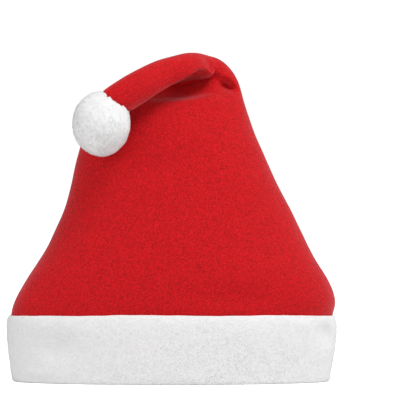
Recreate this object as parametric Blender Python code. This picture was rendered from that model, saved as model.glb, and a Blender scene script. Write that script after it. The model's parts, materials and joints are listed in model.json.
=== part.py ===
"""Santa hat of red felt: a crown whose tip folds over, a doubled plush band and a pompom.

Metres, +Z up. The hat stands on its band with its front towards -Y. Its tip folds over to the
front and hangs to the left, towards -X, where the pompom rests on the crown.
Run it with: blender --background --python part.py
"""

import math
from typing import NamedTuple

import bmesh
import bpy
from mathutils import Vector

# Overall sizes
BAND_WIDTH = 0.270
BAND_DEPTH = 0.114
BAND_HEIGHT = 0.055
HAT_HEIGHT = 0.267
CROWN_WIDTH = 0.265
CROWN_DEPTH = 0.112

# Cloth, seam and clearance
FELT = 0.002
PLUSH = 0.0018
HEM = 0.012
SEAM_INSET = 0.0016
BAND_TAPER = 0.0045
BAND_FRONT_RISE = 0.0018
EDGE_ROUND = 0.0016
GAP = 0.0003

# The folded tip and its pompom
TAIL_WIDTH = 0.025
TAIL_THICKNESS = 0.022
POMPOM_WIDTH = 0.048
POMPOM_HEIGHT = 0.054
POMPOM_LEFT = 0.0555
POMPOM_DROP = 0.058
POMPOM_REST = 0.0008
TUFT_HEIGHT = 0.0012
TUFT_COUNT = 72

# Facets
TURNS = 48
BODY_STEPS = 1
FOLD_STEPS = 2
POMPOM_SUBDIVISIONS = 4
SETTLE_STEP = 0.0005


class CrownRow(NamedTuple):
    """A level section of the crown: shares of the rise above the band and of half the crown's sizes."""

    rise: float
    left: float
    right: float
    depth: float


CROWN_ROWS = (
    CrownRow(rise=0.040, left=0.976, right=1.024, depth=1.000),
    CrownRow(rise=0.130, left=0.896, right=0.980, depth=0.985),
    CrownRow(rise=0.203, left=0.817, right=0.893, depth=0.945),
    CrownRow(rise=0.284, left=0.739, right=0.828, depth=0.890),
    CrownRow(rise=0.400, left=0.660, right=0.736, depth=0.810),
    CrownRow(rise=0.501, left=0.614, right=0.654, depth=0.745),
    CrownRow(rise=0.579, left=0.590, right=0.595, depth=0.700),
    CrownRow(rise=0.650, left=0.562, right=0.543, depth=0.655),
    CrownRow(rise=0.726, left=0.524, right=0.489, depth=0.595),
    CrownRow(rise=0.800, left=0.475, right=0.457, depth=0.520),
)


class FoldRow(NamedTuple):
    """A section over the fold: its middle and half sizes as shares of the crown's rise, width and depth."""

    right: float
    forward: float
    rise: float
    outer: float
    inner: float
    back: float
    front: float
    bend_deg: float


FOLD_ROWS = (
    FoldRow(right=0.019, forward=0.00, rise=0.838, outer=0.420, inner=0.412, back=0.464, front=0.475, bend_deg=1),
    FoldRow(right=0.070, forward=0.00, rise=0.878, outer=0.349, inner=0.310, back=0.393, front=0.410, bend_deg=3),
    FoldRow(right=0.130, forward=-0.02, rise=0.905, outer=0.258, inner=0.250, back=0.321, front=0.330, bend_deg=10),
    FoldRow(right=0.175, forward=-0.02, rise=0.944, outer=0.142, inner=0.150, back=0.250, front=0.250, bend_deg=24),
    FoldRow(right=0.183, forward=0.12, rise=0.963, outer=0.062, inner=0.050, back=0.223, front=0.220, bend_deg=44),
)


class TailRow(NamedTuple):
    """A section of the tail: shares of the way from the fold to the pompom's middle, and of the tail's sizes."""

    left: float
    forward: float
    down: float
    outer: float
    inner: float
    back: float
    front: float
    bend_deg: float


TAIL_ROWS = (
    TailRow(left=0.137, forward=0.32, down=0.04, outer=0.86, inner=0.75, back=0.90, front=1.20, bend_deg=78),
    TailRow(left=0.333, forward=0.55, down=0.137, outer=0.87, inner=0.87, back=0.90, front=1.00, bend_deg=110),
    TailRow(left=0.46, forward=0.68, down=0.222, outer=0.93, inner=0.96, back=0.90, front=1.00, bend_deg=128),
    TailRow(left=0.588, forward=0.80, down=0.342, outer=1.02, inner=1.05, back=0.95, front=1.10, bend_deg=137),
    TailRow(left=0.764, forward=0.90, down=0.513, outer=1.13, inner=1.27, back=1.05, front=1.20, bend_deg=142),
    TailRow(left=0.891, forward=0.96, down=0.666, outer=1.05, inner=1.15, back=1.05, front=1.15, bend_deg=144),
    TailRow(left=0.95, forward=0.99, down=0.761, outer=0.62, inner=0.62, back=0.64, front=0.73, bend_deg=145),
)


class Pull(NamedTuple):
    """A soft pull on the crown: its place and spread in stations and turns, its way as shares of the depth."""

    station: float
    turn: float
    along: float
    around: float
    right: float
    back: float
    up: float


CROWN_PULLS = (
    # The pocket under the tail, and the dimple beside it
    Pull(station=11.7, turn=0.755, along=1.1, around=0.085, right=0.0, back=0.060, up=0.0),
    Pull(station=10.9, turn=0.740, along=1.7, around=0.085, right=0.0, back=0.150, up=0.0),
    Pull(station=10.7, turn=0.885, along=0.6, around=0.028, right=0.0, back=0.058, up=0.0),
    # The lower edge of the tail
    Pull(station=13.2, turn=0.790, along=0.8, around=0.060, right=0.04, back=-0.055, up=-0.067),
    Pull(station=14.2, turn=0.620, along=1.3, around=0.100, right=0.0, back=-0.070, up=0.009),
    Pull(station=17.5, turn=0.600, along=1.8, around=0.140, right=0.0, back=-0.018, up=-0.022),
    # The shoulder behind the tail
    Pull(station=11.6, turn=0.440, along=1.3, around=0.110, right=0.0, back=-0.027, up=0.067),
)


class Station(NamedTuple):
    """A section of the crown: its middle, its four half sizes and how far its plane has bent over."""

    middle: Vector
    outer: float
    inner: float
    back: float
    front: float
    bend: float


def blend_cubic(before, start, end, after, share):
    """Catmull-Rom value between start and end, for numbers and vectors alike."""
    square, cube = share**2, share**3
    return (
        start * 2
        + (end - before) * share
        + (before * 2 - start * 5 + end * 4 - after) * square
        + (start * 3 - before - end * 3 + after) * cube
    ) * 0.5


def band_height(turn):
    """Height of the band's top edge: it lifts a little at the front, where turn is 0.75."""
    front = max(0.0, -math.sin(math.tau * turn))
    return BAND_HEIGHT + BAND_FRONT_RISE * front**2


def hem_inset():
    """How far the crown's outer face lies inside the band's widest outline."""
    return SEAM_INSET + PLUSH + GAP


def crown_rise():
    """From the band's top edge to the top of the fold."""
    return HAT_HEIGHT - BAND_HEIGHT


def body_stations():
    """The level sections of the crown, from just above the band to its shoulder."""
    stations = []
    for row in CROWN_ROWS:
        left, right = (share * CROWN_WIDTH / 2 for share in (row.left, row.right))
        middle = Vector(((right - left) / 2, 0, BAND_HEIGHT + row.rise * crown_rise()))
        half_width = (left + right) / 2
        half_depth = row.depth * CROWN_DEPTH / 2
        stations.append(Station(middle, half_width, half_width, half_depth, half_depth, 0))
    return stations


def bent_station(row, middle, half_width, half_depth):
    """The section of a fold or tail row about a middle, its sizes shares of two half sizes."""
    return Station(
        middle,
        row.outer * half_width,
        row.inner * half_width,
        row.back * half_depth,
        row.front * half_depth,
        math.radians(row.bend_deg),
    )


def fold_stations(pompom_middle):
    """The sections over the fold, which rise with the crown and lean towards the pompom."""
    stations = []
    for row in FOLD_ROWS:
        right = row.right * CROWN_WIDTH / 2
        middle = Vector((right, row.forward * pompom_middle.y, BAND_HEIGHT + row.rise * crown_rise()))
        stations.append(bent_station(row, middle, CROWN_WIDTH / 2, CROWN_DEPTH / 2))
    return stations


def tail_stations(fold_end, pompom_middle):
    """The sections of the tail, which runs from the end of the fold into the pompom."""
    way = pompom_middle - fold_end
    stations = []
    for row in TAIL_ROWS:
        middle = fold_end + Vector((row.left * way.x, row.forward * way.y, row.down * way.z))
        stations.append(bent_station(row, middle, TAIL_WIDTH / 2, TAIL_THICKNESS / 2))
    return stations


def between(stations, position):
    """The station at a fractional position along the list."""
    last = len(stations) - 1
    index = min(int(position), last - 1)
    share = position - index
    rows = [stations[max(0, min(last, index + step))] for step in (-1, 0, 1, 2)]
    return Station(*(blend_cubic(*column, share) for column in zip(*rows)))


def pulled(position, turn):
    """How far and which way the crown is moved at a station and a turn, by all the pulls together."""
    way = Vector((0, 0, 0))
    for pull in CROWN_PULLS:
        around = (turn - pull.turn + 0.5) % 1.0 - 0.5
        reach = ((position - pull.station) / pull.along) ** 2 + (around / pull.around) ** 2
        way += Vector((pull.right, pull.back, pull.up)) * CROWN_DEPTH * math.exp(-reach)
    return way


def section_ring(station, position, heading, grown, turns):
    """The points round a section, moved outwards by grown. Turn 0 is on its right and 0.75 its front.

    The section has bent over from level towards heading, the level direction of the tail.
    """
    sideways = Vector((-heading.y, heading.x, 0))
    inward = heading * math.cos(station.bend) - Vector((0, 0, math.sin(station.bend)))
    across = inward * heading.x + sideways * sideways.x
    backward = inward * heading.y + sideways * sideways.y
    ring = []
    for index in range(turns):
        turn = index / turns
        right, back = math.cos(math.tau * turn), math.sin(math.tau * turn)
        half_width = grown + (station.outer if right > 0 else station.inner)
        half_depth = grown + (station.back if back > 0 else station.front)
        place = station.middle + across * half_width * right + backward * half_depth * back
        ring.append(place + pulled(position, turn))
    return ring


def hem_ring(drop, turns):
    """The crown's cloth inside the band, drop below the band's top edge."""
    half_width = BAND_WIDTH / 2 - hem_inset()
    half_depth = BAND_DEPTH / 2 - hem_inset()
    ring = []
    for index in range(turns):
        angle = math.tau * index / turns
        height = band_height(index / turns) - drop
        ring.append(Vector((half_width * math.cos(angle), half_depth * math.sin(angle), height)))
    return ring


def crown_rings(stations, heading):
    """The rings of the crown's outer face, from its hem in the band to its tip."""
    body_end = len(CROWN_ROWS) - 1
    positions = [step / BODY_STEPS for step in range(body_end * BODY_STEPS)]
    fold_steps = (len(stations) - 1 - body_end) * FOLD_STEPS
    positions += [body_end + step / FOLD_STEPS for step in range(fold_steps + 1)]
    rings = [hem_ring(drop, TURNS) for drop in (HEM - GAP, HEM / 2, 0)]
    for position in positions:
        rings.append(section_ring(between(stations, position), position, heading, 0, TURNS))
    return rings


def tip_rings(stations, heading):
    """The rings of the tail's tip grown by the clearance, for the pompom's socket."""
    last = len(stations) - 1
    rings = []
    for step in range(2 * FOLD_STEPS + 1):
        position = last - 2 + step / FOLD_STEPS
        rings.append(section_ring(between(stations, position), position, heading, GAP, TURNS))
    bend = stations[last].bend
    onward = heading * math.sin(bend) + Vector((0, 0, math.cos(bend)))
    rings.append([point + onward * GAP for point in rings[-1]])
    return rings


def settled_pompom():
    """The pompom's middle, brought forward until it rests on the front of the crown."""
    stations = body_stations()
    face = []
    for step in range(len(stations) * 4 - 3):
        level = between(stations, step / 4)
        face += section_ring(level, step / 4, Vector((-1, 0, 0)), 0, 2 * TURNS)
    radii = (POMPOM_WIDTH / 2 + POMPOM_REST, POMPOM_WIDTH / 2 + POMPOM_REST, POMPOM_HEIGHT / 2 + POMPOM_REST)
    middle = Vector((-POMPOM_LEFT, 0, HAT_HEIGHT - POMPOM_DROP))

    def touches(point):
        away = point - middle
        return sum((away[axis] / radii[axis]) ** 2 for axis in range(3)) < 1

    while any(touches(point) for point in face):
        middle.y -= SETTLE_STEP
    return middle


def loft(name, rings, ends):
    """A mesh through rings of equal count, extruded from one to the next.

    Its ends are "joined" to each other, "capped", or "open" at the first ring and capped at the last.
    """
    mesh = bmesh.new()
    turn_layer = mesh.verts.layers.int.new("turn")
    circle = bmesh.ops.create_circle(mesh, segments=len(rings[0]), radius=1)["verts"]
    for index, vertex in enumerate(circle):
        vertex[turn_layer] = index
        vertex.co = rings[0][index]
    first_edges = edges = list(mesh.edges)
    for ring in rings[1:]:
        made = bmesh.ops.extrude_edge_only(mesh, edges=edges)["geom"]
        verts = {part for part in made if isinstance(part, bmesh.types.BMVert)}
        for vertex in verts:
            vertex.co = ring[vertex[turn_layer]]
        edges = [part for part in made if isinstance(part, bmesh.types.BMEdge) and verts.issuperset(part.verts)]
    if ends == "joined":
        bmesh.ops.bridge_loops(mesh, edges=first_edges + edges)
    else:
        bmesh.ops.contextual_create(mesh, geom=edges)
    if ends == "capped":
        bmesh.ops.contextual_create(mesh, geom=first_edges)
    bmesh.ops.recalc_face_normals(mesh, faces=mesh.faces)
    return to_object(name, mesh)


def to_object(name, mesh):
    """Puts a bmesh in the scene as a smooth-shaded object."""
    data = bpy.data.meshes.new(name)
    mesh.to_mesh(data)
    mesh.free()
    data.shade_smooth()
    placed = bpy.data.objects.new(name, data)
    bpy.context.scene.collection.objects.link(placed)
    return placed


def make_crown(stations, heading):
    """The felt crown: one wall from its hem in the band, up and over the fold, to the closed tip."""
    crown = loft("crown", crown_rings(stations, heading), "open")
    wall = crown.modifiers.new("felt", "SOLIDIFY")
    wall.thickness = FELT
    wall.offset = -1
    return crown


def band_profile():
    """The band's section as pairs of inset from its widest outline and height as a share of its top edge."""
    slot = SEAM_INSET + PLUSH
    lining = slot + FELT + 2 * GAP
    thickness = lining + PLUSH - SEAM_INSET
    low, high = EDGE_ROUND / BAND_HEIGHT, 1 - EDGE_ROUND / BAND_HEIGHT
    slot_floor = 1 - HEM / BAND_HEIGHT
    foot = BAND_TAPER + thickness
    return (
        (BAND_TAPER + EDGE_ROUND, 0.0),
        (BAND_TAPER + 0.2 * EDGE_ROUND, low),
        (0.75 * BAND_TAPER, 0.18),
        (0.35 * BAND_TAPER, 0.42),
        (0.05 * BAND_TAPER, 0.66),
        (0.0, 0.82),
        (0.35 * SEAM_INSET, 0.93),
        (SEAM_INSET + 0.5 * PLUSH, 1.0),
        (slot, high),
        (slot, slot_floor),
        (lining, slot_floor),
        (lining, high),
        (lining + 0.5 * PLUSH, 1.0),
        (lining + PLUSH, high),
        (lining + PLUSH, slot_floor),
        (foot - 0.5 * BAND_TAPER, 0.42),
        (foot - 0.2 * EDGE_ROUND, low),
        (foot - EDGE_ROUND, 0.0),
    )


def make_band():
    """The white plush band: a doubled strip that stands on its fold and holds the crown's hem in its slot."""
    rings = []
    for inset, share in band_profile():
        half_width, half_depth = BAND_WIDTH / 2 - inset, BAND_DEPTH / 2 - inset
        ring = []
        for index in range(TURNS):
            turn = index / TURNS
            angle = math.tau * turn
            height = share * band_height(turn)
            ring.append(Vector((half_width * math.cos(angle), half_depth * math.sin(angle), height)))
        rings.append(ring)
    return loft("band", rings, "joined")


def tuft_directions():
    """Directions spread evenly over the pompom, one for each tuft of its pile."""
    golden_angle = math.pi * (3 - math.sqrt(5))
    directions = []
    for index in range(TUFT_COUNT):
        height = 1 - 2 * (index + 0.5) / TUFT_COUNT
        radius = math.sqrt(1 - height**2)
        angle = golden_angle * index
        directions.append(Vector((radius * math.cos(angle), radius * math.sin(angle), height)))
    return directions


def make_pompom(middle, tail_tip):
    """The plush pompom: tufts on a round head, with a socket that takes the tail's tip."""
    tufts = tuft_directions()
    spacing = math.sqrt(4 * math.pi / TUFT_COUNT) / 2
    half = Vector((POMPOM_WIDTH / 2, POMPOM_WIDTH / 2, POMPOM_HEIGHT / 2))
    mesh = bmesh.new()
    bmesh.ops.create_icosphere(mesh, subdivisions=POMPOM_SUBDIVISIONS, radius=1)
    for vertex in mesh.verts:
        direction = vertex.co.normalized()
        nearest = max(direction.dot(tuft) for tuft in tufts)
        off_tip = math.acos(min(1.0, nearest)) / spacing
        sunk = TUFT_HEIGHT * min(1.0, off_tip**2)
        vertex.co = middle + Vector(direction[axis] * (half[axis] - sunk) for axis in range(3))
    pompom = to_object("pompom", mesh)
    socket = loft("pompom_socket", tail_tip, "capped")
    socket.hide_render = True
    socket.display_type = "WIRE"
    cut = pompom.modifiers.new("socket", "BOOLEAN")
    cut.operation = "DIFFERENCE"
    cut.solver = "EXACT"
    cut.object = socket
    return pompom


def finish(placed, colour, roughness):
    """Gives an object its own Principled material."""
    material = bpy.data.materials.new(placed.name)
    material.use_nodes = True
    shader = material.node_tree.nodes["Principled BSDF"]
    shader.inputs["Base Color"].default_value = (*colour, 1)
    shader.inputs["Roughness"].default_value = roughness
    shader.inputs["Metallic"].default_value = 0
    placed.data.materials.append(material)


def stand_at_origin(pieces):
    """Moves the pieces together, so that the origin is at the middle of the hat's box, under it."""
    corners = [vertex.co for piece in pieces for vertex in piece.data.vertices]
    lowest, highest = (Vector(limit(corner[axis] for corner in corners) for axis in range(3)) for limit in (min, max))
    foot = Vector(((lowest.x + highest.x) / 2, (lowest.y + highest.y) / 2, lowest.z))
    for piece in bpy.data.objects:
        piece.location = -foot


def make_hat():
    """Builds the crown, the band and the pompom."""
    pompom_middle = settled_pompom()
    fold = fold_stations(pompom_middle)
    tail = tail_stations(fold[-1].middle, pompom_middle)
    stations = body_stations() + fold + tail
    way = pompom_middle - fold[-1].middle
    heading = Vector((way.x, way.y, 0)).normalized()
    crown = make_crown(stations, heading)
    band = make_band()
    pompom = make_pompom(pompom_middle, tip_rings(stations, heading))
    stand_at_origin((crown, band, pompom))
    finish(crown, colour=(0.46, 0.009, 0.014), roughness=0.9)
    finish(band, colour=(0.82, 0.82, 0.81), roughness=0.95)
    finish(pompom, colour=(0.82, 0.82, 0.81), roughness=0.95)


for leftover in list(bpy.data.objects):
    bpy.data.objects.remove(leftover)
make_hat()
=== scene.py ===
"""Looks of the santa hat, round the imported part.

The crown is brushed red felt; the band and the pompom are white plush.
"""

import json
import logging
import math
from collections.abc import Callable
from dataclasses import dataclass, replace
from enum import Enum

import bpy
import numpy as np
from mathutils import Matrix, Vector, noise

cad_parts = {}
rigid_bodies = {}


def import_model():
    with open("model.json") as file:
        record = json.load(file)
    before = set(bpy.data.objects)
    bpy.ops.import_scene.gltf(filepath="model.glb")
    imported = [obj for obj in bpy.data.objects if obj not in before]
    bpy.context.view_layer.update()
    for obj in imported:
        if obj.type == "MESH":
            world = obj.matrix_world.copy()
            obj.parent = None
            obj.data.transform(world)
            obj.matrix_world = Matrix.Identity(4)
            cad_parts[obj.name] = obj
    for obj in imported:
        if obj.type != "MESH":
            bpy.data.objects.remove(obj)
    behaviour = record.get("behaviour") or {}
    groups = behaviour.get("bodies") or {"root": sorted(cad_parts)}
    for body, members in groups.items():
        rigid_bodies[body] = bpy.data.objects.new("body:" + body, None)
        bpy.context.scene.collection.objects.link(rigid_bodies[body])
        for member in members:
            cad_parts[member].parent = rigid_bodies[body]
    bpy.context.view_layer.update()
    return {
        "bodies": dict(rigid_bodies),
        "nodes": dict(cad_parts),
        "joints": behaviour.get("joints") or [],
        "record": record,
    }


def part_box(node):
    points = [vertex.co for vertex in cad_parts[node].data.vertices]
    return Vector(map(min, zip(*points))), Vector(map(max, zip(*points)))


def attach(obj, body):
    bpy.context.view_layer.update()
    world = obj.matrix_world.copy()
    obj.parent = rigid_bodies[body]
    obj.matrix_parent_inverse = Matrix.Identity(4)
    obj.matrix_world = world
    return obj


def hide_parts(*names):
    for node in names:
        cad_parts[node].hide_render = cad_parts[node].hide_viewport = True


LOG = logging.getLogger("santa_hat")

# The photograph: where the hat stands in its 400 x 400 frame, in pixels
PHOTO_SIDE = 400
PHOTO_BAND_LEFT = 4.6
PHOTO_BAND_RIGHT = 336.6
PHOTO_FLOOR_ROW = 382.0
PHOTO_BAND_MIDDLE = 171.2

MM_PER_METRE = 1000.0
ANYWHERE = 1000.0
TINY = 1e-12

# Where a crumple reads its noise for x, y and z
STRAY_SHIFTS = ((0.0, 0.0, 0.0), (31.4, 7.9, -12.6), (-5.3, 23.7, 41.2))


class Node(str, Enum):
    """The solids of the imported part."""

    CROWN = "crown"
    BAND = "band"
    POMPOM = "pompom"


class Slot(str, Enum):
    """The record's material slots."""

    FELT = "red_felt"
    BAND = "plush_band"
    POMPOM = "plush_pompom"


class Side(Enum):
    """Which way a mark on the cloth lies: the side that the photograph shows, or the far one."""

    FRONT = -1
    BACK = 1


# --------------------------------------------------------------------------- measuring


@dataclass(frozen=True)
class PhotoView:
    """Turns places in the photograph into places in the part's frame."""

    band_low: Vector
    band_high: Vector

    @property
    def scale(self) -> float:
        """Metres for each pixel, from the band's width."""
        return (self.band_high.x - self.band_low.x) / (PHOTO_BAND_RIGHT - PHOTO_BAND_LEFT)

    @property
    def middle_x(self) -> float:
        """The band's middle in the part's frame."""
        return (self.band_low.x + self.band_high.x) / 2

    def across(self, column: float) -> float:
        """Returns the x of a column of the photograph."""
        return self.middle_x + (column - PHOTO_BAND_MIDDLE) * self.scale

    def up(self, row: float) -> float:
        """Returns the z of a row of the photograph."""
        return self.band_low.z + (PHOTO_FLOOR_ROW - row) * self.scale


# --------------------------------------------------------------------------- cloth shapes


def clamped(share: float) -> float:
    """Returns a share kept between 0 and 1."""
    return min(1.0, max(0.0, share))


@dataclass(frozen=True)
class Press:
    """A soft hollow or swelling of the cloth, seen at a place of the photograph.

    Its lengths are in millimetres. A hollow has a positive depth, a swelling a negative one. With a
    value for behind, it moves only cloth that lies less than that far in front of the ridge, and fades
    over behind_fade.
    """

    column: float
    row: float
    spread_x: float
    spread_z: float
    depth: float
    tilt_deg: float = 0.0
    side: Side = Side.FRONT
    behind: float = ANYWHERE
    behind_fade: float = 4.0

    def moved(self, point: Vector, view: PhotoView, ridge_y: float) -> float:
        """How far the press moves a point of the cloth along y.

        Args:
            point: a point of the cloth, in the part's frame.
            view: the photograph's view.
            ridge_y: the y that parts the front cloth from the back cloth.

        Returns:
            The move along +y, in metres.
        """
        if (point.y - ridge_y) * self.side.value < 0:
            return 0.0
        off_x = (point.x - view.across(self.column)) * MM_PER_METRE
        off_z = (point.z - view.up(self.row)) * MM_PER_METRE
        turn = math.radians(self.tilt_deg)
        along = off_x * math.cos(turn) + off_z * math.sin(turn)
        beside = off_z * math.cos(turn) - off_x * math.sin(turn)
        reach = (along / self.spread_x) ** 2 + (beside / self.spread_z) ** 2
        lies_in_front = (ridge_y - point.y) * MM_PER_METRE
        held = clamped((self.behind - lies_in_front) / self.behind_fade + 1)
        return -self.side.value * self.depth / MM_PER_METRE * math.exp(-reach) * held


@dataclass(frozen=True)
class Seam:
    """A pressed seam at the back of the cloth.

    Its width and depth are in millimetres; its line x, its top and its fade are in metres.
    """

    x: float
    width: float = 1.9
    depth: float = 0.9
    top: float = 0.235
    fade: float = 0.02

    def moved(self, point: Vector, ridge_y: float) -> float:
        """How far the seam draws a point of the cloth along y.

        Args:
            point: a point of the cloth, in the part's frame.
            ridge_y: the y that parts the front cloth from the back cloth.

        Returns:
            The move along +y, in metres.
        """
        if point.y < ridge_y:
            return 0.0
        beside = (point.x - self.x) * MM_PER_METRE / self.width
        held = clamped((self.top - point.z) / self.fade)
        return -self.depth / MM_PER_METRE * held * math.exp(-(beside**2))


@dataclass(frozen=True)
class Crumple:
    """Slight unevenness of a cloth: how far it strays, and over what length, in millimetres."""

    depth: float
    length: float
    seed: float

    def stray(self, point: Vector) -> Vector:
        """Returns how far a point of the cloth strays, in metres."""
        place = point * (MM_PER_METRE / self.length) + Vector((self.seed, -self.seed, 2 * self.seed))
        strays = [noise.noise(place + Vector(shift)) for shift in STRAY_SHIFTS]
        return Vector(strays) * (self.depth / MM_PER_METRE)


@dataclass(frozen=True)
class ClothShape:
    """All the soft forms of one cloth."""

    presses: tuple[Press, ...]
    crumples: tuple[Crumple, ...]
    seam: Seam

    def apply(self, piece: bpy.types.Object, view: PhotoView, held: Callable[[Vector], float]) -> None:
        """Moves the cloth's points by the seam, the presses and the crumples.

        Args:
            piece: the cloth.
            view: the photograph's view.
            held: says how freely a point moves, from 0 (not at all) to 1 (fully).
        """
        middle_y = (view.band_low.y + view.band_high.y) / 2
        for vertex in piece.data.vertices:
            point = vertex.co.copy()
            moved = Vector((0, self.seam.moved(point, middle_y), 0))
            for press in self.presses:
                moved.y += press.moved(point, view, middle_y)
            for crumple in self.crumples:
                moved += crumple.stray(point)
            vertex.co = point + moved * held(point)


class MeshTools:
    """The steps by which copies of the part's nodes become finished pieces, done as by hand."""

    @staticmethod
    def only(piece: bpy.types.Object) -> None:
        """Selects one piece alone and makes it the active one."""
        bpy.ops.object.select_all(action="DESELECT")
        piece.select_set(True)
        bpy.context.view_layer.objects.active = piece

    @staticmethod
    def copy_node(frame: dict, node: Node, name: str) -> bpy.types.Object:
        """Copies a node's mesh into a new piece and joins its loose triangles into quads.

        Args:
            node: the node to copy.
            name: the new piece's name.

        Returns:
            The new piece, at the origin.
        """
        source = frame["nodes"][node.value]
        piece = bpy.data.objects.new(name, source.data.copy())
        bpy.context.scene.collection.objects.link(piece)
        piece.data.materials.clear()
        MeshTools.only(piece)
        bpy.ops.object.mode_set(mode="EDIT")
        bpy.ops.mesh.select_all(action="SELECT")
        bpy.ops.mesh.remove_doubles(threshold=0.000001)
        bpy.ops.mesh.tris_convert_to_quads(face_threshold=math.pi, shape_threshold=math.pi)
        bpy.ops.mesh.customdata_custom_splitnormals_clear()
        bpy.ops.object.mode_set(mode="OBJECT")
        return piece

    @staticmethod
    def calmed(piece: bpy.types.Object, steps: int) -> None:
        """Evens out a piece's bumps with a Smooth of some steps, and applies it."""
        MeshTools.only(piece)
        calm = piece.modifiers.new("calm", "SMOOTH")
        calm.iterations = steps
        bpy.ops.object.modifier_apply(modifier=calm.name)

    @staticmethod
    def rounded(piece: bpy.types.Object, levels: int) -> None:
        """Rounds a piece with a Subdivision Surface of some levels, and applies it."""
        MeshTools.only(piece)
        round_off = piece.modifiers.new("round", "SUBSURF")
        round_off.levels = levels
        round_off.render_levels = levels
        bpy.ops.object.modifier_apply(modifier=round_off.name)
        bpy.ops.object.shade_smooth()


@dataclass(frozen=True)
class Pile:
    """Short locks of fibre that stand on a plush cloth; lengths in millimetres.

    A lock's length lies between shortest, and shortest plus variety, times the pile's length.
    """

    count: int
    length: float
    radius: float
    lean: float
    fall: float
    sunk: float
    seed: int
    shortest: float = 0.7
    variety: float = 0.6

    def lock(self) -> tuple[np.ndarray, np.ndarray]:
        """Models one lock, a small closed spike of length 1 on a base of radius 1.

        Returns:
            Its points, and its faces as rows of three indices.
        """
        bpy.ops.object.select_all(action="DESELECT")
        bpy.ops.mesh.primitive_cone_add(
            vertices=4, radius1=1.0, radius2=0.0, depth=1.0, location=(0, 0, 0.5)
        )
        spike = bpy.context.object
        bpy.ops.object.transform_apply(location=True)
        bpy.ops.object.mode_set(mode="EDIT")
        bpy.ops.mesh.select_all(action="SELECT")
        bpy.ops.mesh.quads_convert_to_tris()
        bpy.ops.object.mode_set(mode="OBJECT")
        points = np.array([vertex.co[:] for vertex in spike.data.vertices])
        faces = np.array([face.vertices[:] for face in spike.data.polygons])
        data = spike.data
        bpy.data.objects.remove(spike)
        bpy.data.meshes.remove(data)
        return points, faces

    def grow(
        self, piece: bpy.types.Object, bare: Callable[[np.ndarray, np.ndarray], np.ndarray]
    ) -> None:
        """Joins the locks to the cloth that they stand on.

        Args:
            piece: the cloth.
            bare: says of faces, by their middles and normals, which ones carry no pile.
        """
        random = np.random.default_rng(self.seed)
        mesh = piece.data
        mesh.calc_loop_triangles()
        corners = np.array([triangle.vertices[:] for triangle in mesh.loop_triangles])
        places = np.array([vertex.co[:] for vertex in mesh.vertices])
        a, b, c = (places[corners[:, side]] for side in range(3))
        normal = np.cross(b - a, c - a)
        area = np.linalg.norm(normal, axis=1)
        normal /= np.maximum(area, TINY)[:, None]
        weight = np.where(bare((a + b + c) / 3, normal), 0.0, area)
        chosen = random.choice(len(corners), size=self.count, p=weight / weight.sum())
        first, second = np.sqrt(random.random(self.count)), random.random(self.count)
        shares = np.stack([1 - first, first * (1 - second), first * second], axis=1)
        roots = sum(shares[:, [side]] * places[corners[chosen, side]] for side in range(3))
        up = normal[chosen]
        drift = random.normal(size=(self.count, 3)) * self.lean + np.array([0, 0, -self.fall])
        way = up + drift
        way /= np.linalg.norm(way, axis=1)[:, None]
        side = np.cross(way, random.normal(size=(self.count, 3)))
        side /= np.linalg.norm(side, axis=1)[:, None]
        other = np.cross(way, side)
        size = self.shortest + self.variety * random.random(self.count)
        points, faces = self.lock()
        roots = roots - up * self.sunk / MM_PER_METRE
        grown = (
            roots[:, None, :]
            + points[None, :, :1] * (side * self.radius / MM_PER_METRE)[:, None, :]
            + points[None, :, 1:2] * (other * self.radius / MM_PER_METRE)[:, None, :]
            + points[None, :, 2:] * (way * (size * self.length / MM_PER_METRE)[:, None])[:, None, :]
        ).reshape(-1, 3)
        start = len(places) + len(points) * np.arange(self.count)
        tufts = (faces[None, :, :] + start[:, None, None]).reshape(-1, 3)
        joined = bpy.data.meshes.new(mesh.name)
        joined.from_pydata(
            np.concatenate([places, grown]).tolist(),
            [],
            [tuple(face.vertices) for face in mesh.polygons] + tufts.tolist(),
        )
        joined.update()
        own = np.array([vertex.normal[:] for vertex in mesh.vertices])
        soft = np.repeat(up, len(points), axis=0)
        piece.data = joined
        bpy.data.meshes.remove(mesh)
        MeshTools.only(piece)
        bpy.ops.object.shade_smooth()
        joined.normals_split_custom_set_from_vertices(np.concatenate([own, soft]).tolist())


# --------------------------------------------------------------------------- finishes


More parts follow.
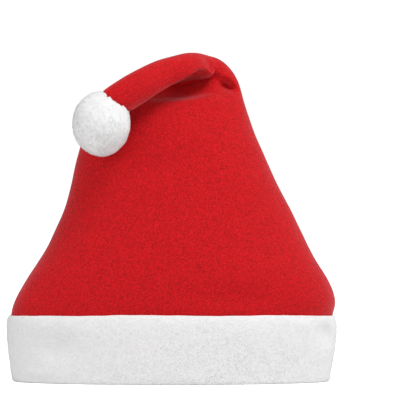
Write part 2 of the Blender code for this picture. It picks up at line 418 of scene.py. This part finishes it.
class NodeGroups:
    """The shader effects that several finishes share, each built once."""

    FLECKS = "cloth_flecks"

    @staticmethod
    def flecks() -> bpy.types.NodeTree:
        """Short fibres pressed into flecks: a mask of light and dark, and a height for bump.

        Returns:
            The group, with inputs Size (mm), Patch (mm) and Seed, and outputs Mask, Height and Drift.
        """
        known = bpy.data.node_groups.get(NodeGroups.FLECKS)
        if known:
            return known
        group = bpy.data.node_groups.new(NodeGroups.FLECKS, "ShaderNodeTree")
        for name, value in (("Size", 1.0), ("Patch", 12.0), ("Seed", 0.0)):
            socket = group.interface.new_socket(name, in_out="INPUT", socket_type="NodeSocketFloat")
            socket.default_value = value
        for name in ("Mask", "Height", "Drift"):
            group.interface.new_socket(name, in_out="OUTPUT", socket_type="NodeSocketFloat")
        nodes, links = group.nodes, group.links
        inside = nodes.new("NodeGroupInput")
        outside = nodes.new("NodeGroupOutput")
        place = nodes.new("ShaderNodeTexCoord")
        shift = nodes.new("ShaderNodeVectorMath")
        shift.operation = "ADD"
        links.new(place.outputs["Object"], shift.inputs[0])
        links.new(inside.outputs["Seed"], shift.inputs[1])

        def per_metre(socket: str, name: str) -> bpy.types.Node:
            """How many of a length in millimetres go into a metre."""
            turns = nodes.new("ShaderNodeMath")
            turns.operation = "DIVIDE"
            turns.name = name
            turns.inputs[0].default_value = MM_PER_METRE
            links.new(inside.outputs[socket], turns.inputs[1])
            return turns

        fine_rate = per_metre("Size", "fine rate")
        patch_rate = per_metre("Patch", "patch rate")
        fine = nodes.new("ShaderNodeTexNoise")
        fine.inputs["Detail"].default_value = 3.0
        fine.inputs["Roughness"].default_value = 0.62
        fine.inputs["Distortion"].default_value = 1.2
        links.new(shift.outputs[0], fine.inputs["Vector"])
        links.new(fine_rate.outputs[0], fine.inputs["Scale"])
        patch = nodes.new("ShaderNodeTexNoise")
        patch.inputs["Detail"].default_value = 2.0
        links.new(shift.outputs[0], patch.inputs["Vector"])
        links.new(patch_rate.outputs[0], patch.inputs["Scale"])
        mask = nodes.new("ShaderNodeMapRange")
        mask.inputs["From Min"].default_value = 0.38
        mask.inputs["From Max"].default_value = 0.62
        links.new(fine.outputs["Fac"], mask.inputs["Value"])
        drift = nodes.new("ShaderNodeMapRange")
        drift.inputs["From Min"].default_value = 0.3
        drift.inputs["From Max"].default_value = 0.7
        links.new(patch.outputs["Fac"], drift.inputs["Value"])
        links.new(mask.outputs["Result"], outside.inputs["Mask"])
        links.new(fine.outputs["Fac"], outside.inputs["Height"])
        links.new(drift.outputs["Result"], outside.inputs["Drift"])
        return group


@dataclass(frozen=True)
class ClothFinish:
    """A brushed cloth: its colours are linear RGB, its lengths are in millimetres."""

    name: str
    dark: tuple[float, float, float]
    light: tuple[float, float, float]
    patch_tone: tuple[float, float, float]
    patch_share: float
    fleck: float
    patch: float
    relief: float
    sheen: float
    sheen_roughness: float
    sheen_tint: tuple[float, float, float]
    specular: float
    roughness: float = 0.92

    def build(self) -> bpy.types.Material:
        """Builds the cloth's material from its flecks.

        Returns:
            The material.
        """
        material = bpy.data.materials.new(self.name)
        material.use_nodes = True
        nodes, links = material.node_tree.nodes, material.node_tree.links
        shader = nodes["Principled BSDF"]
        shader.inputs["Roughness"].default_value = self.roughness
        shader.inputs["Specular IOR Level"].default_value = self.specular
        shader.inputs["Sheen Weight"].default_value = self.sheen
        shader.inputs["Sheen Roughness"].default_value = self.sheen_roughness
        shader.inputs["Sheen Tint"].default_value = (*self.sheen_tint, 1)
        flecks = nodes.new("ShaderNodeGroup")
        flecks.node_tree = NodeGroups.flecks()
        flecks.inputs["Size"].default_value = self.fleck
        flecks.inputs["Patch"].default_value = self.patch
        tone = nodes.new("ShaderNodeMix")
        tone.data_type = "RGBA"
        tone.inputs["A"].default_value = (*self.dark, 1)
        tone.inputs["B"].default_value = (*self.light, 1)
        links.new(flecks.outputs["Mask"], tone.inputs["Factor"])
        share = nodes.new("ShaderNodeMath")
        share.operation = "MULTIPLY"
        share.inputs[1].default_value = self.patch_share
        links.new(flecks.outputs["Drift"], share.inputs[0])
        patches = nodes.new("ShaderNodeMix")
        patches.data_type = "RGBA"
        patches.inputs["B"].default_value = (*self.patch_tone, 1)
        links.new(share.outputs[0], patches.inputs["Factor"])
        links.new(tone.outputs["Result"], patches.inputs["A"])
        links.new(patches.outputs["Result"], shader.inputs["Base Color"])
        bump = nodes.new("ShaderNodeBump")
        bump.inputs["Strength"].default_value = 1.0
        bump.inputs["Distance"].default_value = self.relief / MM_PER_METRE
        links.new(flecks.outputs["Height"], bump.inputs["Height"])
        links.new(bump.outputs["Normal"], shader.inputs["Normal"])
        return material


RED_FELT = ClothFinish(
    name="brushed_red_felt",
    dark=(0.33, 0.0005, 0.002),
    light=(0.74, 0.005, 0.010),
    patch_tone=(0.53, 0.002, 0.005),
    patch_share=0.30,
    fleck=1.15,
    patch=12.0,
    relief=0.5,
    sheen=0.4,
    sheen_roughness=0.34,
    sheen_tint=(1.0, 0.60, 0.66),
    specular=0.18,
    roughness=0.75,
)
WHITE_PLUSH = ClothFinish(
    name="white_plush",
    dark=(0.76, 0.76, 0.76),
    light=(0.83, 0.83, 0.83),
    patch_tone=(0.80, 0.80, 0.80),
    patch_share=0.5,
    fleck=1.8,
    patch=22.0,
    relief=0.25,
    sheen=0.1,
    sheen_roughness=0.5,
    sheen_tint=(1.0, 1.0, 1.0),
    specular=0.1,
)
# Painted light: a lighter copy of the band's white plush, so that the pompom's shaded bottom and left
# side come out brighter
POMPOM_PLUSH_PAINTED_LIGHT = replace(
    WHITE_PLUSH,
    name="pompom_plush_painted_light",
    dark=(0.83, 0.83, 0.83),
    light=(0.89, 0.89, 0.89),
    patch_tone=(0.86, 0.86, 0.86),
)


# --------------------------------------------------------------------------- pieces


@dataclass
class Crown:
    """The felt crown: the part's own shape with the photograph's soft hollows and swellings."""

    levels: int = 2
    shape: ClothShape = ClothShape(
        presses=(
            Press(column=227, row=86, spread_x=9.5, spread_z=4.2, depth=5.0, tilt_deg=-26),
            Press(column=229, row=88, spread_x=5.5, spread_z=2.8, depth=3.8, tilt_deg=-26),
            Press(column=208, row=66, spread_x=10.0, spread_z=2.8, depth=2.4, tilt_deg=-65),
            Press(column=188, row=96, spread_x=26.0, spread_z=12.0, depth=8.5, tilt_deg=10, behind=17.0),
            Press(column=225, row=300, spread_x=42, spread_z=11, depth=3.0),
            Press(column=84, row=222, spread_x=5, spread_z=24, depth=-1.4, tilt_deg=14),
            Press(column=252, row=128, spread_x=5, spread_z=9, depth=1.8),
            Press(column=150, row=170, spread_x=38, spread_z=9, depth=1.2, tilt_deg=22),
        ),
        crumples=(
            Crumple(depth=0.9, length=46, seed=3.0),
            Crumple(depth=0.35, length=17, seed=8.0),
        ),
        seam=Seam(x=0.003),
    )
    free: float = 0.012

    def build(self, frame: dict, view: PhotoView) -> bpy.types.Object:
        """Makes the crown and sets it in the node's place.

        Args:
            view: the photograph's view.

        Returns:
            The finished piece.
        """
        piece = MeshTools.copy_node(frame, Node.CROWN, "felt_crown")
        MeshTools.rounded(piece, self.levels)
        self.shape.apply(piece, view, lambda point: clamped((point.z - view.band_high.z) / self.free))
        piece.data.materials.append(RED_FELT.build())
        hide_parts(Node.CROWN.value)
        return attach(piece, "root")


@dataclass
class Band:
    """The plush band: the part's own shape with soft dents and a slightly wavy edge."""

    levels: int = 2
    shape: ClothShape = ClothShape(
        presses=(
            Press(column=58, row=346, spread_x=18, spread_z=12, depth=3.4),
            Press(column=325, row=334, spread_x=7, spread_z=9, depth=4.2),
            Press(column=34, row=371, spread_x=24, spread_z=2.4, depth=-0.9),
        ),
        crumples=(
            Crumple(depth=0.7, length=38, seed=5.0),
            Crumple(depth=0.3, length=11, seed=1.0),
        ),
        seam=Seam(x=0.003, depth=0.8, top=0.3),
    )
    pile: Pile = Pile(count=12000, length=0.75, radius=0.9, lean=0.35, fall=0.25, sunk=0.4, seed=11)
    outer_share: float = 0.94
    slot_floor: float = 0.041
    foot: float = 0.001
    fold_height: float = 0.006

    def inside(self, view: PhotoView, middles: np.ndarray, normals: np.ndarray) -> np.ndarray:
        """Says which faces of the band are out of sight, in its slot, its lining or under its fold.

        Args:
            view: the photograph's view, which knows the band's box.
            middles: the faces' middles.
            normals: the faces' normals.

        Returns:
            True for each face that carries no pile.
        """
        low, high = np.array(view.band_low[:2]), np.array(view.band_high[:2])
        out = (middles[:, :2] - (low + high) / 2) / ((high - low) / 2)
        facing = (out * normals[:, :2]).sum(axis=1)
        share = (out**2).sum(axis=1)
        in_slot = (middles[:, 2] > self.slot_floor) & (share < self.outer_share)
        return in_slot | (facing < 0) | (middles[:, 2] < self.foot)

    def build(self, frame: dict, view: PhotoView) -> bpy.types.Object:
        """Makes the band and sets it in the node's place.

        Args:
            view: the photograph's view.

        Returns:
            The finished piece.
        """
        piece = MeshTools.copy_node(frame, Node.BAND, "plush_band")
        MeshTools.rounded(piece, self.levels)
        self.shape.apply(piece, view, lambda point: clamped(point.z / self.fold_height))
        self.pile.grow(piece, lambda middles, normals: self.inside(view, middles, normals))
        piece.data.materials.append(WHITE_PLUSH.build())
        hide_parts(Node.BAND.value)
        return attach(piece, "root")


@dataclass
class Pompom:
    """The plush pompom: the part's ball, its tufts calmed, under a dense short pile."""

    levels: int = 1
    calm_steps: int = 6
    socket_share: float = 0.72
    socket_facing: float = 0.3
    pile: Pile = Pile(count=5200, length=1.15, radius=0.95, lean=0.35, fall=0.08, sunk=0.4, seed=5)

    def build(self, frame: dict, view: PhotoView) -> bpy.types.Object:
        """Makes the pompom and sets it in the node's place.

        Args:
            view: the photograph's view; not used.

        Returns:
            The finished piece.
        """
        piece = MeshTools.copy_node(frame, Node.POMPOM, "plush_pompom")
        MeshTools.calmed(piece, self.calm_steps)
        MeshTools.rounded(piece, self.levels)
        low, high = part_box(Node.POMPOM.value)
        middle = np.array((low + high) / 2)
        half = np.array((high - low) / 2)

        def in_socket(middles: np.ndarray, normals: np.ndarray) -> np.ndarray:
            """Says which faces lie in the socket that takes the tail's tip."""
            out = (middles - middle) / half
            in_hollow = (out**2).sum(axis=1) < self.socket_share
            return in_hollow | ((out * normals).sum(axis=1) < self.socket_facing)

        self.pile.grow(piece, in_socket)
        # painted light: the pompom wears the lighter copy of the band's white plush, which brightens it
        # all over, its shaded bottom too
        piece.data.materials.append(POMPOM_PLUSH_PAINTED_LIGHT.build())
        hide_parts(Node.POMPOM.value)
        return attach(piece, "root")


# --------------------------------------------------------------------------- studio


@dataclass
class Studio:
    """A plain white floor, soft light from the upper right, and the camera of the photograph."""

    camera_distance: float = 2.4
    sensor: float = 36.0
    floor_radius: float = 9.0
    floor_colour: float = 0.8
    floor_glow: float = 0.8
    floor_roughness: float = 0.8
    sky: float = 0.50
    backdrop: float = 1.05
    aim_height: float = 0.11
    key_power: float = 14.5
    fill_power: float = 9.5
    side_power: float = 4.5

    def floor(self) -> None:
        """Lays the white floor under the hat."""
        bpy.ops.object.select_all(action="DESELECT")
        bpy.ops.mesh.primitive_circle_add(vertices=96, radius=self.floor_radius, fill_type="NGON")
        floor = bpy.context.object
        floor.name = "floor"
        material = bpy.data.materials.new("white_floor")
        material.use_nodes = True
        shader = material.node_tree.nodes["Principled BSDF"]
        shader.inputs["Base Color"].default_value = (self.floor_colour,) * 3 + (1,)
        shader.inputs["Roughness"].default_value = self.floor_roughness
        shader.inputs["Emission Color"].default_value = (1, 1, 1, 1)
        nodes, links = material.node_tree.nodes, material.node_tree.links
        rays = nodes.new("ShaderNodeLightPath")
        glow = nodes.new("ShaderNodeMath")
        glow.operation = "MULTIPLY"
        glow.inputs[1].default_value = self.floor_glow
        links.new(rays.outputs["Is Camera Ray"], glow.inputs[0])
        links.new(glow.outputs[0], shader.inputs["Emission Strength"])
        floor.data.materials.append(material)

    def world(self) -> None:
        """Sets the white surroundings, which the camera sees brighter than they light the hat."""
        world = bpy.data.worlds.new("white_studio")
        bpy.context.scene.world = world
        world.use_nodes = True
        nodes, links = world.node_tree.nodes, world.node_tree.links
        back = nodes["Background"]
        back.inputs["Color"].default_value = (1, 1, 1, 1)
        rays = nodes.new("ShaderNodeLightPath")
        strength = nodes.new("ShaderNodeMapRange")
        strength.inputs["To Min"].default_value = self.sky
        strength.inputs["To Max"].default_value = self.backdrop
        links.new(rays.outputs["Is Camera Ray"], strength.inputs["Value"])
        links.new(strength.outputs["Result"], back.inputs["Strength"])

    def light(self, name: str, place: Vector, aim: Vector, size: float, power: float) -> None:
        """Adds a square soft light at a place, turned to a point."""
        bpy.ops.object.select_all(action="DESELECT")
        bpy.ops.object.light_add(type="AREA", location=place)
        lamp = bpy.context.object
        lamp.name = name
        lamp.data.size = size
        lamp.data.energy = power
        lamp.rotation_euler = (aim - place).to_track_quat("-Z", "Y").to_euler()

    def camera(self, view: PhotoView) -> None:
        """Sets the camera of the photograph: level, far off, and square to the band."""
        bpy.ops.object.select_all(action="DESELECT")
        place = Vector((view.across(PHOTO_SIDE / 2), -self.camera_distance, view.up(PHOTO_SIDE / 2)))
        bpy.ops.object.camera_add(location=place, rotation=(math.radians(90), 0, 0))
        camera = bpy.context.object
        camera.data.sensor_width = self.sensor
        camera.data.lens = self.sensor * self.camera_distance / (PHOTO_SIDE * view.scale)
        bpy.context.scene.camera = camera

    def build(self, view: PhotoView) -> None:
        """Builds the studio round the hat."""
        self.floor()
        self.world()
        aim = Vector((0, 0, self.aim_height))
        self.light("key", Vector((0.55, -0.75, 1.45)), aim, 0.6, self.key_power)
        self.light("fill", Vector((-1.2, -1.2, 0.3)), aim, 1.2, self.fill_power)
        self.light("side", Vector((1.5, -0.05, 0.45)), aim, 0.8, self.side_power)
        self.camera(view)
        bpy.context.scene.view_settings.view_transform = "Standard"


def corners(bounds: tuple) -> list:
    """Returns a box's two corners as plain lists of numbers."""
    return [[float(value) for value in corner] for corner in bounds]


def main() -> None:
    """Builds the hat's pieces in order, then the studio."""
    logging.basicConfig(level=logging.INFO, format="%(name)s: %(message)s")
    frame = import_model()
    view = PhotoView(*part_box(Node.BAND.value))
    for maker in (Crown(), Band(), Pompom()):
        piece = maker.build(frame, view)
        LOG.info("%s: %d faces", piece.name, len(piece.data.polygons))
    Studio().build(view)


if __name__ == "__main__":
    main()
